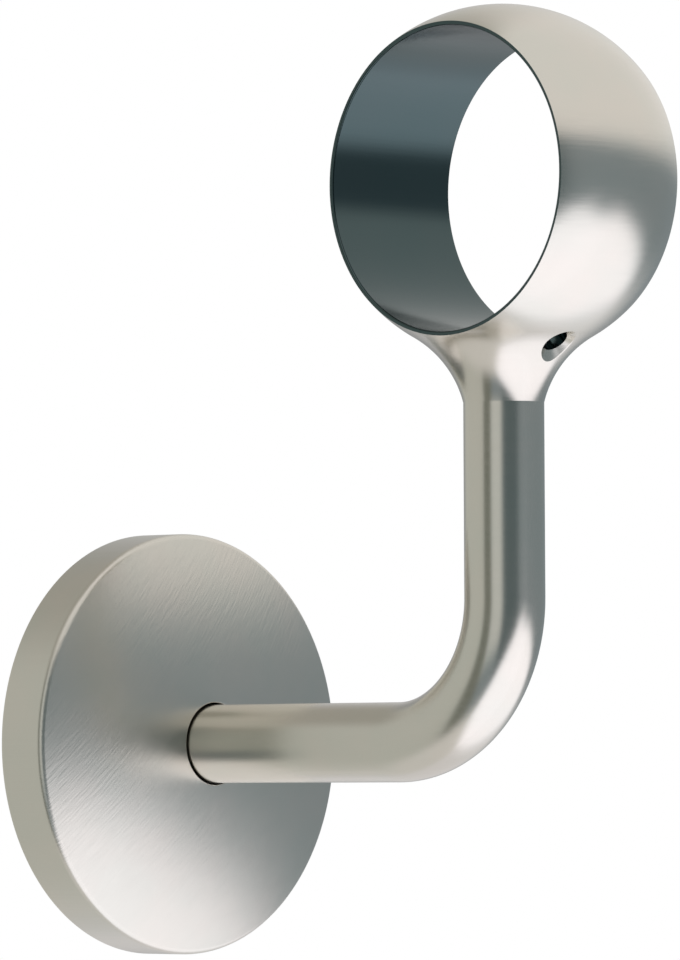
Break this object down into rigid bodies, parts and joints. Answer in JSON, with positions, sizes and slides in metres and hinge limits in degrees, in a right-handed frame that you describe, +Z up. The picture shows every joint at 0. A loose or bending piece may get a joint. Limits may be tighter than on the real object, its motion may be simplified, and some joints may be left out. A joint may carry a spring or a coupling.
{
  "type": "handrail bracket",
  "caption": "Wall bracket for a round handrail: a ball-shaped ring on a neck and a bent round bar, with a domed round cover rose over a hidden wall plate.",
  "frame": {"origin": "on the wall plane, where the axis of the arm meets it, at the centre of the wall plate", "axes": "+Y into the wall, -Y to the room, X along the rail, +Z up"},
  "size_m": [0.078, 0.121, 0.171],
  "materials": {
    "satin_nickel": "satin nickel plate on a casting, finely brushed",
    "satin_nickel_rose": "satin nickel plate, brushed across the dome",
    "zinc_steel": "zinc plated steel"
  },
  "bodies": {
    "root": {"rail_arm": "satin_nickel", "cover_rose": "satin_nickel_rose", "wall_plate": "zinc_steel", "plate_screw": "zinc_steel"}
  },
  "joints": []
}
